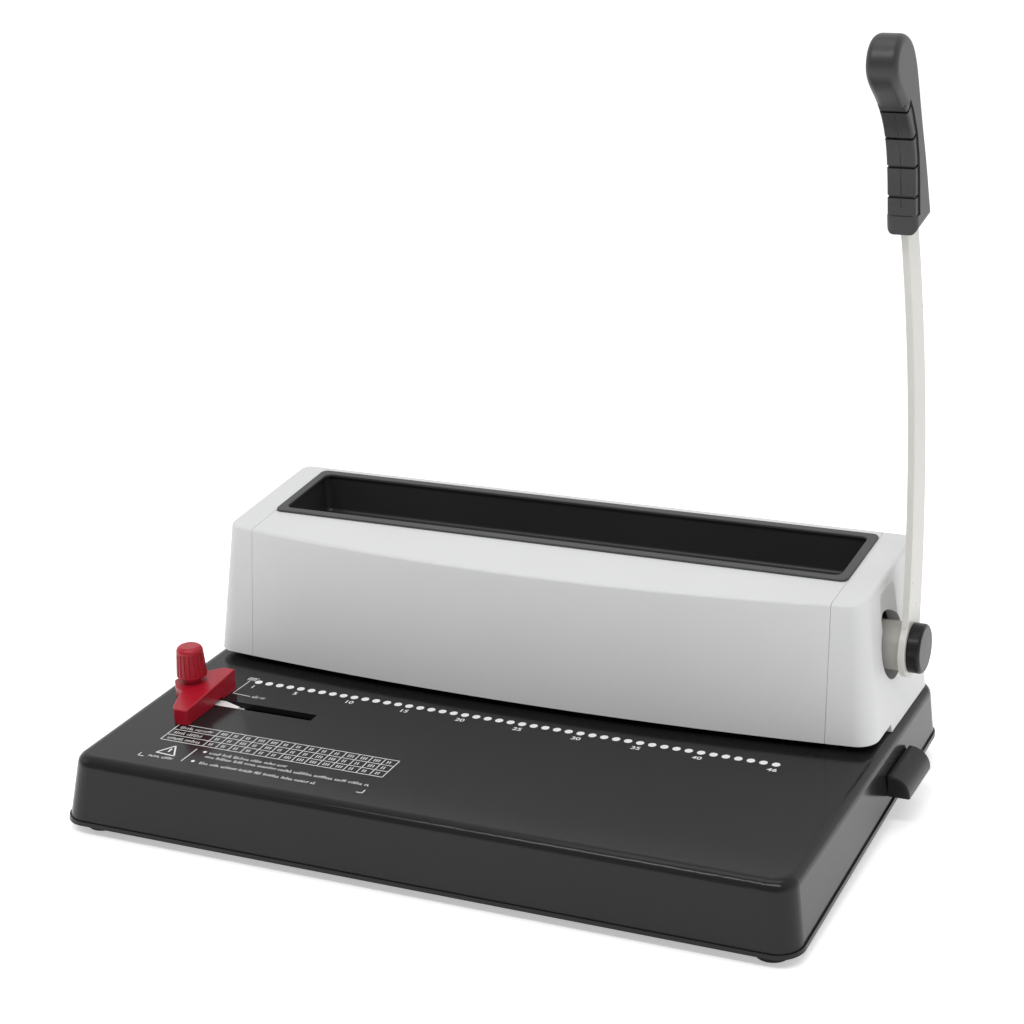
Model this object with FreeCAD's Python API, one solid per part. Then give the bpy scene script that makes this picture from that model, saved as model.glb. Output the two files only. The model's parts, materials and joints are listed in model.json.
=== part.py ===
import FreeCAD, Part
import math
import os

# Coil binding punch with a lever, a paper table, an edge guide, a waste tray and a top trough.
# All lengths are millimetres.  X runs along the row of holes, Y to the back, Z up.
# Everything is drawn about the middle of the body with the paper table at z = 0;
# on export it is moved so that the origin is the bottom centre of the bounding box.

V = FreeCAD.Vector

# ---------------------------------------------------------------- driving sizes
PITCH = 6.35            # four holes to the inch
HOLES = 46
ROW_X = -0.6            # middle of the hole row, along the body
PIN_Y = 44.0            # punch row, under the housing
PIN_R = 2.0
HOLE_R = 2.06
TIP_REST_Z = 5.8        # pin tips at rest, inside the upper guide plate
GAP = 4.4               # height of the paper gap
STOP_Y = 48.6           # where the paper's edge stops

BASE_H = 36.0           # height of the base's front wall
UNDER_SLOPE = 0.0315    # the underside rises towards the back
BASE_WALL = 3.0
PLATE_LOW, PLATE_HIGH = 0.4, 1.6    # faces of the bottom plate, above the underside
LIP = 0.8               # small flange around the base's lower edge
LIP_H = 2.2
BASE_EDGE_R = 5.5       # rounding along the top edge of the base
FOOT_R = 8.6
FOOT_BOTTOM = -41.5
FEET = [(-179.5, -97.0), (175.0, -98.0), (-176.0, 103.0), (170.0, 103.0)]

SEAM_X = 159.3          # seams between the front cover and the two end caps
SEAM_GAP = 0.2
CAP_X0 = 183.3          # half width of the housing at the table
CAP_X1 = 175.3          # half width of the housing 75 mm above the table
SHELL = 2.6             # wall of the housing
TOP_Z = 72.5            # height of the housing's top at its front edge
TOP_Y = 31.8
TOP_SLOPE = 0.069       # the top rises towards the back
NOTCH_Y = 52.0          # the end caps stand on the table behind this line

TROUGH_Y0, TROUGH_Y1 = 55.3, 109.9
TROUGH_FLOOR = 56.5
RIM_W = 4.6
RIM_R = 3.6             # corners of the rim
RIM_T = 1.2

AXIS_Y, AXIS_Z = 66.0, 40.0   # drive shaft
SHAFT_R = 6.0
BUSH_R = 9.0
HUB_R = 12.0
HOLE_IN_CAP_R = 16.8
SCOOP_UP = 26.0               # height of the hollow above the shaft that clears the arm
MODULE = 1.75
TEETH = 10
PITCH_R = MODULE * TEETH / 2.0
RACK_ADD = 1.0
RACK_DED = 1.9
PINION_ADD = 1.5
PINION_DED = 1.4
GEAR_X = 120.0
GEAR_W = 12.0

ARM_X0, ARM_X1 = 186.0, 189.2
BOSS_R = 14.8
CAP_R = 12.3
GRIP_X0, GRIP_X1 = 180.4, 195.0

FRAME_X0, FRAME_X1 = 152.0, 155.0
POST_X, POST_Y, POST_R = 100.0, 37.5, 2.2

TRAY_Y0, TRAY_Y1 = 32.2, 64.4
TRAY_Z0, TRAY_Z1 = -22.6, -13.6
TRAY_X0 = -150.0
PULL_Y0, PULL_Y1 = 30.5, 67.0
PULL_Z0, PULL_Z1 = -23.7, -12.9
PULL_OUT = 10.8

SLOT_Y = -28.5
SLOT_W = 7.0
SLOT_X0, SLOT_X1 = -172.6, -94.2
KNOB_X = -165.2
KNOB_R = 8.0

nodes = {}


# ---------------------------------------------------------------- helpers
def box(x0, x1, y0, y1, z0, z1):
    return Part.makeBox(x1 - x0, y1 - y0, z1 - z0, V(x0, y0, z0))


def cyl(r, p0, p1):
    a, b = V(*p0), V(*p1)
    return Part.makeCylinder(r, (b - a).Length, a, b - a)


def tube(r_out, r_in, p0, p1):
    return cyl(r_out, p0, p1).cut(cyl(r_in, p0, p1))


def prism_z(points, z0, z1):
    wire = Part.makePolygon([V(x, y, z0) for x, y in points] + [V(points[0][0], points[0][1], z0)])
    return Part.Face(wire).extrude(V(0, 0, z1 - z0))


def prism_x(points, x0, x1):
    wire = Part.makePolygon([V(x0, y, z) for y, z in points] + [V(x0, points[0][0], points[0][1])])
    return Part.Face(wire).extrude(V(x1 - x0, 0, 0))


def cut(body, tools):
    return body.cut(Part.makeCompound(tools))


def add(name, shape):
    nodes[name] = shape


def group(shapes):
    return Part.makeCompound(shapes)


def round_edges(shape, edges, radii):
    """Fillet the edges with the first radius that gives a valid solid."""
    if not edges:
        print("no edges were picked")
        return shape
    for r in radii:
        try:
            out = shape.makeFillet(r, edges)
            if out.isValid() and out.Solids:
                return out
        except Exception:
            continue
    print("no fillet took on", len(edges), "edges")
    return shape


def rounded_loop(points, radii, z):
    """Closed wire through a polygon's corners, each corner rounded with its own tangent arc."""
    n = len(points)
    ends = []
    for i in range(n):
        p = V(points[i][0], points[i][1], z)
        a = V(points[i - 1][0], points[i - 1][1], z) - p
        b = V(points[(i + 1) % n][0], points[(i + 1) % n][1], z) - p
        a.normalize()
        b.normalize()
        half = a.getAngle(b) / 2.0
        back = radii[i] / math.tan(half)
        mid_dir = a + b
        mid_dir.normalize()
        centre = p + mid_dir * (radii[i] / math.sin(half))
        ends.append((p + a * back, centre - mid_dir * radii[i], p + b * back))
    edges = []
    for i in range(n):
        s, m, e = ends[i]
        edges.append(Part.Arc(s, m, e).toShape())
        edges.append(Part.LineSegment(e, ends[(i + 1) % n][0]).toShape())
    return Part.Wire(edges)


def top_plane_z(y):
    return TOP_Z + TOP_SLOPE * (y - TOP_Y)


def above_top(offset):
    """Everything above the housing's sloping top plane, raised by offset."""
    y0, y1 = -40.0, 200.0
    pts = [(y0, top_plane_z(y0) + offset), (y1, top_plane_z(y1) + offset), (y1, 160.0), (y0, 160.0)]
    return prism_x(pts, -260.0, 260.0)


def hole_xs():
    first = ROW_X - PITCH * (HOLES - 1) / 2.0
    return [first + PITCH * i for i in range(HOLES)]


# ---------------------------------------------------------------- base
def right_wall_x(y, t):
    """Outside of the base's right wall; t runs from 0 at the table to 1 at the bottom of the front wall."""
    front, back = 187.2 + 2.8 * t, 185.6 + 1.9 * t
    return front + (back - front) * (y + 108.6) / 228.1


def base_outline(inset, z):
    """Plan of the base at a height; the walls flare towards the bottom, most of all on the left."""
    t = -z / BASE_H
    front = -108.6 - 2.2 * t + inset
    back = 119.5 + 3.5 * t - inset
    left_front = -187.2 - 8.6 * t + inset
    left_back = -185.6 - 8.6 * t + inset
    r = max(11.0 + 1.0 * t - inset, 4.0)
    pts = [(left_front, front), (right_wall_x(front, t) - inset, front),
           (right_wall_x(back, t) - inset, back),
           (left_back, back)]
    return rounded_loop(pts, [r] * 4, z)


def base_block(inset, z0, z1):
    return Part.makeLoft([base_outline(inset, z0), base_outline(inset, z1)], True, True)


def under_z(y):
    """Height of the base's sloping underside."""
    return -BASE_H + UNDER_SLOPE * (y + 110.8)


def under_slab(low, high):
    """Everything between two planes that run parallel to the underside."""
    y0, y1 = -150.0, 160.0
    pts = [(y0, under_z(y0) + low), (y1, under_z(y1) + low),
           (y1, under_z(y1) + high), (y0, under_z(y0) + high)]
    return prism_x(pts, -230.0, 230.0)


def plate_top(y):
    """Height of the bottom plate's upper face."""
    return under_z(y) + PLATE_HIGH


def make_base():
    block = base_block(0.0, -BASE_H, 0.0)
    top_edges = [e for e in block.Edges if all(abs(v.Z) < 1e-6 for v in e.Vertexes)]
    block = round_edges(block, top_edges, [BASE_EDGE_R, 5.0, 4.0])
    lip = base_block(-LIP, -BASE_H, -BASE_H + 14.0).common(under_slab(0.0, LIP_H))
    block = block.cut(under_slab(-20.0, 0.0)).fuse(lip)
    shell = block.cut(base_block(BASE_WALL, -BASE_H - 1.0, -BASE_WALL))

    # screw bosses under the table
    bosses = []
    for x, y in BOSSES:
        bosses.append(tube(5.0, 1.5, (x, y, under_z(y) + 1.95), (x, y, -BASE_WALL + 0.2)))
    # ribs that stiffen the table, clear of the tray and of the guide's slot
    for x in (-60.0, 60.0):
        bosses.append(box(x - 1.0, x + 1.0, -100.0, -50.0, -14.0, -BASE_WALL + 0.2))
    for y in (-75.0, -5.0):
        bosses.append(box(-150.0, 150.0, y - 1.0, y + 1.0, -12.0, -BASE_WALL + 0.2))
    shell = shell.multiFuse(bosses)

    # window for the die plate, slot for the edge guide, mouth for the waste tray
    shell = shell.cut(box(-150.0, 150.0, 33.0, 57.0, -BASE_WALL - 0.01, 1.0))
    slot = box(SLOT_X0, SLOT_X1, SLOT_Y - SLOT_W / 2, SLOT_Y + SLOT_W / 2, -6.0, 1.0)
    shell = shell.cut(slot)
    mouth = box(170.0, 200.0, TRAY_Y0 - 0.4, TRAY_Y1 + 0.4, TRAY_Z0 - 0.4, TRAY_Z1 + 0.4)
    shell = shell.cut(mouth)
    # holes for the screws that hold the side frames
    for x, y in frame_screw_places():
        shell = shell.cut(cyl(2.0, (x, y, -4.0), (x, y, 1.0)))
    return shell.removeSplitter()


BOSSES = [(-150.0, -96.0), (0.0, -98.0), (150.0, -96.0), (-150.0, 106.0), (0.0, 106.0), (150.0, 106.0)]


def frame_screw_places():
    places = []
    for s in (-1, 1):
        for y in (74.0, 91.0):
            places.append((s * 163.0, y))
    return places


def make_bottom():
    plate = base_block(BASE_WALL + 0.3, -BASE_H, -10.0).common(under_slab(PLATE_LOW, PLATE_HIGH))
    holes = [cyl(1.7, (x, y, -40.0), (x, y, -20.0)) for x, y in BOSSES]
    holes += [cyl(1.8, (x, y, -40.0), (x, y, -20.0)) for x, y in FEET]
    add("base_bottom_plate", cut(plate, holes))

    screws = []
    for x, y in BOSSES:
        z = under_z(y) + 0.28
        head = cyl(3.2, (x, y, z - 1.6), (x, y, z))
        shank = cyl(1.5, (x, y, z - 0.1), (x, y, z + 12.0))
        slot = box(x - 2.2, x + 2.2, y - 0.35, y + 0.35, z - 1.7, z - 1.0)
        screws.append(head.fuse(shank).cut(slot).removeSplitter())
    add("bottom_screws", group(screws))

    # the rear feet are taller, so that the table stands level
    feet, foot_screws = [], []
    for x, y in FEET:
        top = under_z(y) + 0.1
        foot = cyl(FOOT_R, (x, y, FOOT_BOTTOM), (x, y, top))
        rim = [e for e in foot.Edges if abs(e.BoundBox.ZMax - FOOT_BOTTOM) < 1e-6]
        foot = round_edges(foot, rim, [1.6, 1.0])
        foot = foot.cut(cyl(4.2, (x, y, FOOT_BOTTOM - 1), (x, y, FOOT_BOTTOM + 2.6)))
        foot = foot.cut(cyl(1.8, (x, y, FOOT_BOTTOM), (x, y, top + 1.0)))
        feet.append(foot)
        head = cyl(3.4, (x, y, FOOT_BOTTOM + 1.0), (x, y, FOOT_BOTTOM + 2.6))
        shank = cyl(1.7, (x, y, FOOT_BOTTOM + 2.5), (x, y, top + 3.9))
        nut = cyl(3.4, (x, y, top + 1.64), (x, y, top + 3.8)).cut(cyl(1.7, (x, y, top), (x, y, top + 5.0)))
        foot_screws.append(head.fuse(shank).removeSplitter())
        foot_screws.append(nut)
    add("rubber_feet", group(feet))
    add("foot_screws", group(foot_screws))


# ---------------------------------------------------------------- housing
def housing_outline(z, inset):
    """Plan of the white housing at a height: bowed front, straight sides and back."""
    t = z / 75.0
    half = CAP_X0 + (CAP_X1 - CAP_X0) * t - inset
    # the bowed front leans back as it rises, and bows more at the top
    front_mid = 13.1 + 8.0 * t + inset
    bow_r = 1780.0 - 560.0 * t - inset
    back = 117.0 - 0.4 * t - inset
    rf = max(11.0 - 3.0 * t - inset, 2.0)
    rb = max(9.0 - 3.0 * t - inset, 2.0)
    cy0 = front_mid + bow_r
    cx = half - rf
    cy = cy0 - math.sqrt((bow_r - rf) ** 2 - cx ** 2)
    k = bow_r / (bow_r - rf)
    tx, ty = cx * k, cy0 + (cy - cy0) * k
    ang0 = math.atan2(ty - cy, tx - cx)
    mid = (cx + rf * math.cos(ang0 / 2), cy + rf * math.sin(ang0 / 2))

    def p(x, y):
        return V(x, y, z)

    s = math.sqrt(0.5)
    bow = rb - rb * s
    edges = [
        Part.Arc(p(-tx, ty), p(0, front_mid), p(tx, ty)).toShape(),
        Part.Arc(p(tx, ty), p(mid[0], mid[1]), p(half, cy)).toShape(),
        Part.LineSegment(p(half, cy), p(half, back - rb)).toShape(),
        Part.Arc(p(half, back - rb), p(half - bow, back - bow), p(half - rb, back)).toShape(),
        Part.LineSegment(p(half - rb, back), p(-half + rb, back)).toShape(),
        Part.Arc(p(-half + rb, back), p(-half + bow, back - bow), p(-half, back - rb)).toShape(),
        Part.LineSegment(p(-half, back - rb), p(-half, cy)).toShape(),
        Part.Arc(p(-half, cy), p(-mid[0], mid[1]), p(-tx, ty)).toShape(),
    ]
    return Part.Wire(edges)


def housing_block(inset, z0):
    loft = Part.makeLoft([housing_outline(z0, inset), housing_outline(90.0, inset)], True, True)
    return loft.cut(above_top(-inset))


def make_housing():
    outer = housing_block(0.0, 0.0)
    top_edges = []
    for e in outer.Edges:
        if all(abs(v.Z - top_plane_z(v.Y)) < 1e-4 for v in e.Vertexes):
            top_edges.append(e)
    outer = round_edges(outer, top_edges, [2.0, 1.5, 1.0, 0.6])
    inner = housing_block(SHELL, -1.0)
    shell = outer.cut(inner)
    # the paper gap runs under the front and is open at both ends
    shell = shell.cut(box(-200.0, 200.0, 0.0, NOTCH_Y, -2.0, GAP - 0.2))
    # opening for the trough
    shell = shell.cut(box(-SEAM_X + 0.7, SEAM_X - 0.7, TROUGH_Y0 + 0.7, TROUGH_Y1 - 0.7, 60.0, 90.0))

    g = SEAM_GAP / 2
    mid_zone = box(-SEAM_X + g, SEAM_X - g, 0.0, 130.0, -2.0, 90.0)
    front = shell.common(mid_zone).common(box(-200, 200, 0, 80.0, -2, 90))
    rear = shell.common(mid_zone).common(box(-200, 200, 80.3, 130, -2, 90))
    # lugs that hang the front cover on the upper guide plate
    lugs = []
    for x in (-120.0, -40.0, 40.0, 120.0):
        lugs.append(box(x - 1.2, x + 1.2, 8.0, 29.0, 12.0, 24.0))
    front = front.multiFuse([l.common(inner) for l in lugs]).removeSplitter()
    add("front_cover", front)

    # screw bosses behind the rear cover, with their screws
    bosses, screws = [], []
    for x in (-110.0, 0.0, 110.0):
        bosses.append(cyl(4.0, (x, 106.0, 26.0), (x, 114.8, 26.0)))
    rear = rear.multiFuse(bosses)
    for x in (-110.0, 0.0, 110.0):
        rear = rear.cut(cyl(1.6, (x, 105.0, 26.0), (x, 118.0, 26.0)))
        rear = rear.cut(cyl(3.4, (x, 115.2, 26.0), (x, 119.0, 26.0)))
        head = cyl(3.1, (x, 115.2, 26.0), (x, 116.8, 26.0))
        shank = cyl(1.6, (x, 104.0, 26.0), (x, 115.3, 26.0))
        cross = box(x - 1.8, x + 1.8, 116.2, 117.0, 25.7, 26.3)
        cross2 = box(x - 0.3, x + 0.3, 116.2, 117.0, 24.2, 27.8)
        screws.append(head.fuse(shank).cut(cross).cut(cross2).removeSplitter())
    add("rear_cover", rear.removeSplitter())
    add("rear_screws", group(screws))

    left = shell.common(box(-200.0, -SEAM_X - g, 0.0, 130.0, -2.0, 90.0))
    right = shell.common(box(SEAM_X + g, 200.0, 0.0, 130.0, -2.0, 90.0))
    # tabs behind the seams, where the caps overlap the covers
    for side, cap in (("left", left), ("right", right)):
        s = -1 if side == "left" else 1
        xa, xb = sorted((s * (SEAM_X - 3.9), s * (SEAM_X + 6.0)))
        tab = box(xa, xb, 96.0, 112.0, 8.0, 12.0).common(housing_block(SHELL + 0.2, -1.0))
        web = box(min(s * 161.0, s * 163.5), max(s * 161.0, s * 163.5), 96.0, 118.0, 8.0, 12.0)
        cap = cap.multiFuse([tab, web.common(outer)]).removeSplitter()
        if side == "right":
            cap = shaft_opening(cap, outer)
        add(side + "_end_cap", cap)
    return outer


def shaft_opening(cap, outer):
    """Round hole for the shaft in the right cap, with a hollow channel above it."""
    pad = box(172.0, 190.0, AXIS_Y - 23.0, AXIS_Y + 23.0, 12.0, 68.0).common(outer)
    cap = cap.fuse(pad)
    cap = cap.cut(cyl(HOLE_IN_CAP_R, (150.0, AXIS_Y, AXIS_Z), (200.0, AXIS_Y, AXIS_Z)))
    scoop_r = 30.0
    depth = 2.4
    lean = math.atan((CAP_X0 - CAP_X1) / 75.0)
    face_x = CAP_X0 + (CAP_X1 - CAP_X0) * AXIS_Z / 75.0
    axis_x = face_x + scoop_r - depth
    lean_x, lean_z = -math.sin(lean), math.cos(lean)
    scoop = Part.makeCylinder(scoop_r, SCOOP_UP, V(axis_x, AXIS_Y, AXIS_Z), V(lean_x, 0, lean_z))
    end = Part.makeSphere(scoop_r, V(axis_x + SCOOP_UP * lean_x, AXIS_Y, AXIS_Z + SCOOP_UP * lean_z))
    channel = scoop.fuse(end)
    channel = channel.common(box(150.0, 220.0, AXIS_Y - 12.0, AXIS_Y + 12.0, AXIS_Z, 69.5))
    return cap.cut(channel).removeSplitter()


def make_trough():
    """Open tray in the top for coils, with a raised rim frame around it."""
    x1 = SEAM_X - 1.0
    y0, y1 = TROUGH_Y0 + 1.0, TROUGH_Y1 - 1.0
    corners = [(-x1, y0), (x1, y0), (x1, y1), (-x1, y1)]
    body = Part.Face(rounded_loop(corners, [4.5] * 4, TROUGH_FLOOR - 2.0)).extrude(V(0, 0, 40.0))
    body = body.cut(above_top(0.0))
    w = 2.0
    inner = [(-x1 + w, y0 + w), (x1 - w, y0 + w), (x1 - w, y1 - w), (-x1 + w, y1 - w)]
    well = Part.Face(rounded_loop(inner, [3.0] * 4, TROUGH_FLOOR)).extrude(V(0, 0, 40.0))
    floor_edges = [e for e in well.Edges if all(abs(v.Z - TROUGH_FLOOR) < 1e-6 for v in e.Vertexes)]
    well = round_edges(well, floor_edges, [2.0, 1.5])
    add("coil_trough", body.cut(well).removeSplitter())

    xo, yo0, yo1 = SEAM_X, TROUGH_Y0, TROUGH_Y1
    outer = [(-xo, yo0), (xo, yo0), (xo, yo1), (-xo, yo1)]
    xi, yi0, yi1 = xo - RIM_W, yo0 + RIM_W, yo1 - RIM_W
    inside = [(-xi, yi0), (xi, yi0), (xi, yi1), (-xi, yi1)]
    ring = Part.Face(rounded_loop(outer, [RIM_R] * 4, 60.0)).extrude(V(0, 0, 40.0))
    ring = ring.cut(Part.Face(rounded_loop(inside, [RIM_R] * 4, 59.0)).extrude(V(0, 0, 42.0)))
    slab = ring.cut(above_top(RIM_T))
    slab = slab.common(above_top(0.0))
    edges = []
    for e in slab.Edges:
        if all(abs(v.Z - top_plane_z(v.Y) - RIM_T) < 1e-4 for v in e.Vertexes):
            edges.append(e)
    add("trough_rim", round_edges(slab, edges, [0.5, 0.3]))


# ---------------------------------------------------------------- punch mechanism
def make_frames():
    for name, s in (("left", -1), ("right", 1)):
        xa, xb = sorted((s * FRAME_X0, s * FRAME_X1))
        outline = [(50.0, 0.0), (98.0, 0.0), (98.0, 30.0), (86.0, 52.0), (53.0, 52.0), (53.0, 66.0),
                   (34.6, 66.0), (30.0, 36.0), (30.0, GAP + 0.6), (50.0, GAP + 0.6)]
        plate = prism_x(outline, xa, xb)
        fa, fb = sorted((s * FRAME_X0, s * 170.0))
        foot = box(fa, fb, 54.0, 98.0, 0.0, 2.5)
        plate = plate.fuse(foot).removeSplitter()
        plate = plate.cut(cyl(BUSH_R, (s * 140.0, AXIS_Y, AXIS_Z), (s * 160.0, AXIS_Y, AXIS_Z)))
        for x, y in frame_screw_places():
            if x * s > 0:
                plate = plate.cut(cyl(2.0, (x, y, -1.0), (x, y, 4.0)))
        add("side_frame_" + name, plate)

        bore = SHAFT_R + 0.05
        seat = (s * FRAME_X1, AXIS_Y, AXIS_Z)
        flange = tube(12.0, bore, seat, (s * (FRAME_X1 + 2.0), AXIS_Y, AXIS_Z))
        sleeve = tube(BUSH_R, bore, (s * (FRAME_X0 - 3.0), AXIS_Y, AXIS_Z), seat)
        add("shaft_bush_" + name, flange.fuse(sleeve).removeSplitter())

    screws = []
    for x, y in frame_screw_places():
        head = cyl(3.6, (x, y, 2.5), (x, y, 4.9))
        head = round_edges(head, [e for e in head.Edges if abs(e.BoundBox.ZMin - 4.9) < 1e-6], [1.0, 0.6])
        shank = cyl(2.0, (x, y, -6.0), (x, y, 2.6))
        nut = cyl(3.6, (x, y, -6.2), (x, y, -BASE_WALL)).cut(cyl(2.0, (x, y, -7.0), (x, y, -2.0)))
        screws.append(head.fuse(shank).removeSplitter())
        screws.append(nut)
    add("frame_screws", group(screws))

    tie = box(-FRAME_X0, FRAME_X0, 34.6, 46.0, 60.0, 64.0)
    tie = tie.fuse(box(-FRAME_X0, FRAME_X0, 43.5, 46.0, 64.0, 67.0)).removeSplitter()
    tie = cut(tie, [cyl(POST_R, (s * POST_X, POST_Y, 59.0), (s * POST_X, POST_Y, 65.0)) for s in (-1, 1)])
    add("top_tie_bar", tie)


def make_die():
    holes = [cyl(HOLE_R, (x, PIN_Y, -6.0), (x, PIN_Y, 12.0)) for x in hole_xs()]
    add("die_plate", cut(box(-150.0, 150.0, 33.0, 57.0, -4.0, 0.0), holes))

    posts = [cyl(POST_R, (s * POST_X, POST_Y, GAP), (s * POST_X, POST_Y, 64.0)) for s in (-1, 1)]
    guide = box(-FRAME_X0, FRAME_X0, 33.0, 57.0, GAP, GAP + 5.0)
    # lead-in along the front lower edge, where the paper enters
    guide = guide.cut(prism_x([(32.0, GAP - 0.5), (36.5, GAP - 0.5), (32.0, GAP + 2.5)], -160.0, 160.0))
    add("upper_guide_plate", cut(guide, holes + posts))
    add("paper_stop", box(-150.0, 150.0, STOP_Y, 57.0, 0.0, GAP))
    add("guide_posts", group(posts))


def make_press():
    sockets = []
    for x in hole_xs():
        sockets.append(cyl(HOLE_R, (x, PIN_Y, 29.0), (x, PIN_Y, 34.0)))
        sockets.append(cyl(2.75, (x, PIN_Y, 33.8), (x, PIN_Y, 37.0)))
    post_holes = []
    for s in (-1, 1):
        post_holes.append(cyl(POST_R + 0.06, (s * POST_X, POST_Y, 28.0), (s * POST_X, POST_Y, 50.0)))
    add("pin_holder", cut(box(-149.0, 149.0, 34.0, 52.0, 30.0, 36.0), sockets + post_holes))

    screw_holes = []
    screws = []
    for s in (-1, 1):
        for dx in (-3.0, 3.0):
            x = s * GEAR_X + dx
            screw_holes.append(cyl(1.5, (x, 33.0, 42.0), (x, 53.5, 42.0)))
            head = cyl(2.7, (x, 32.2, 42.0), (x, 34.0, 42.0))
            shank = cyl(1.5, (x, 33.9, 42.0), (x, 53.5, 42.0))
            screws.append(head.fuse(shank).removeSplitter())
    bar = box(-149.0, 149.0, 34.0, 52.0, 36.0, 48.0)
    add("press_bar", cut(bar, screw_holes + post_holes))
    add("rack_screws", group(screws))

    pins = []
    for x in hole_xs():
        shank = cyl(PIN_R, (x, PIN_Y, TIP_REST_Z), (x, PIN_Y, 35.0))
        head = cyl(2.6, (x, PIN_Y, 34.0), (x, PIN_Y, 36.0))
        pin = shank.fuse(head).removeSplitter()
        # hollow-ground tip: a shallow V across the end, so each pin shears the paper
        low = TIP_REST_Z - 0.5
        vee = prism_x([(PIN_Y - 2.5, low), (PIN_Y + 2.5, low), (PIN_Y, TIP_REST_Z + 0.6)], x - 3.0, x + 3.0)
        pins.append(pin.cut(vee))
    add("punch_pins", group(pins))

    for name, s in (("left", -1), ("right", 1)):
        x0, x1 = s * GEAR_X - GEAR_W / 2, s * GEAR_X + GEAR_W / 2
        rack = rack_profile(x0, x1)
        add("rack_" + name, cut(rack, [h for h in screw_holes]))
        add("return_spring_" + name, spring(s * POST_X, POST_Y, GAP + 5.0, 30.0))


def rack_profile(x0, x1):
    """Straight rack on the back of the press bar, in front of the pinion."""
    pitch_y = AXIS_Y - PITCH_R
    p = math.pi * MODULE
    root, tip = pitch_y - RACK_DED, pitch_y + RACK_ADD
    half_pitch_w = p / 4 - 0.15
    tan20 = math.tan(math.radians(20.0))
    w_root = half_pitch_w + RACK_DED * tan20
    w_tip = half_pitch_w - RACK_ADD * tan20
    z_low, z_high = 31.6, 53.4
    pts = [(52.0, z_low), (root, z_low)]
    for k in (-1, 0, 1, 2):
        zc = AXIS_Z + k * p
        pts += [(root, zc - w_root), (tip, zc - w_tip), (tip, zc + w_tip), (root, zc + w_root)]
    pts += [(root, z_high), (52.0, z_high)]
    return prism_x(pts, x0, x1)


def pinion_wire(x):
    """Involute pinion; one tooth space faces the rack, straight to the front."""
    rb = PITCH_R * math.cos(math.radians(20.0))
    ra = PITCH_R + PINION_ADD
    rf = PITCH_R - PINION_DED
    inv20 = math.tan(math.radians(20.0)) - math.radians(20.0)
    half = math.pi / (2 * TEETH) - 0.15 / PITCH_R + inv20
    pts = []
    steps = 6
    for k in range(TEETH):
        mid = math.pi + (k + 0.5) * 2 * math.pi / TEETH
        flank = []
        for i in range(steps + 1):
            r = rb + (ra - rb) * i / steps
            a = math.acos(min(1.0, rb / r))
            flank.append((r, half - (math.tan(a) - a)))
        left = [(rf, -half)] + [(r, -t) for r, t in flank]
        right = [(r, t) for r, t in reversed(flank)] + [(rf, half)]
        for r, t in left + right:
            pts.append((AXIS_Y + r * math.cos(mid + t), AXIS_Z + r * math.sin(mid + t)))
    return pts


def spring(x, y, z0, z1):
    """Compression spring around a guide post, with flat closed ends."""
    r, wire = 3.2, 0.5
    turns = 7.0
    height = z1 - z0 - 2 * wire
    helix = Part.makeHelix(height / turns, height, r)
    helix.translate(V(x, y, z0 + wire))
    start = helix.Edges[0].valueAt(helix.Edges[0].FirstParameter)
    section = Part.Wire([Part.makeCircle(wire, start, V(0, 1, 0))])
    coil = Part.Wire(helix.Edges).makePipeShell([section], True, True)
    return coil


def make_drive():
    shaft = cyl(SHAFT_R, (-160.0, AXIS_Y, AXIS_Z), (178.0, AXIS_Y, AXIS_Z))
    add("drive_shaft", shaft)
    for name, s in (("left", -1), ("right", 1)):
        x0, x1 = s * GEAR_X - GEAR_W / 2, s * GEAR_X + GEAR_W / 2
        gear = prism_x(pinion_wire(x0), x0, x1)
        gear = gear.cut(cyl(SHAFT_R, (x0 - 1, AXIS_Y, AXIS_Z), (x1 + 1, AXIS_Y, AXIS_Z)))
        add("pinion_" + name, gear)
        c0, c1 = sorted((s * 129.0, s * 137.0))
        add("shaft_collar_" + name, tube(10.0, SHAFT_R, (c0, AXIS_Y, AXIS_Z), (c1, AXIS_Y, AXIS_Z)))

    hub = cyl(HUB_R, (160.0, AXIS_Y, AXIS_Z), (ARM_X0, AXIS_Y, AXIS_Z))
    rim = [e for e in hub.Edges if abs(e.BoundBox.XMax - 160.0) < 1e-6]
    hub = round_edges(hub, rim, [0.8])
    hub = hub.cut(cyl(SHAFT_R, (159.0, AXIS_Y, AXIS_Z), (178.0, AXIS_Y, AXIS_Z)))
    hub = hub.cut(cyl(3.0, (177.0, AXIS_Y, AXIS_Z), (190.0, AXIS_Y, AXIS_Z)))
    add("lever_hub", hub)

    head = cyl(6.0, (ARM_X1, AXIS_Y, AXIS_Z), (ARM_X1 + 3.5, AXIS_Y, AXIS_Z))
    hexagon = []
    for i in range(6):
        a = math.radians(60.0 * i)
        hexagon.append((AXIS_Y + 2.6 * math.cos(a), AXIS_Z + 2.6 * math.sin(a)))
    head = head.cut(prism_x(hexagon, ARM_X1 + 1.2, ARM_X1 + 4.0))
    shank = cyl(3.0, (178.5, AXIS_Y, AXIS_Z), (ARM_X1 + 0.1, AXIS_Y, AXIS_Z))
    add("lever_screw", head.fuse(shank).removeSplitter())


# ---------------------------------------------------------------- lever
ARM_P0 = (AXIS_Y, AXIS_Z)
ARM_P1 = (75.2, 138.0)
ARM_P2 = (62.6, 240.0)
ARM_TOP = 255.0          # the full-width arm ends here, inside the grip


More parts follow.
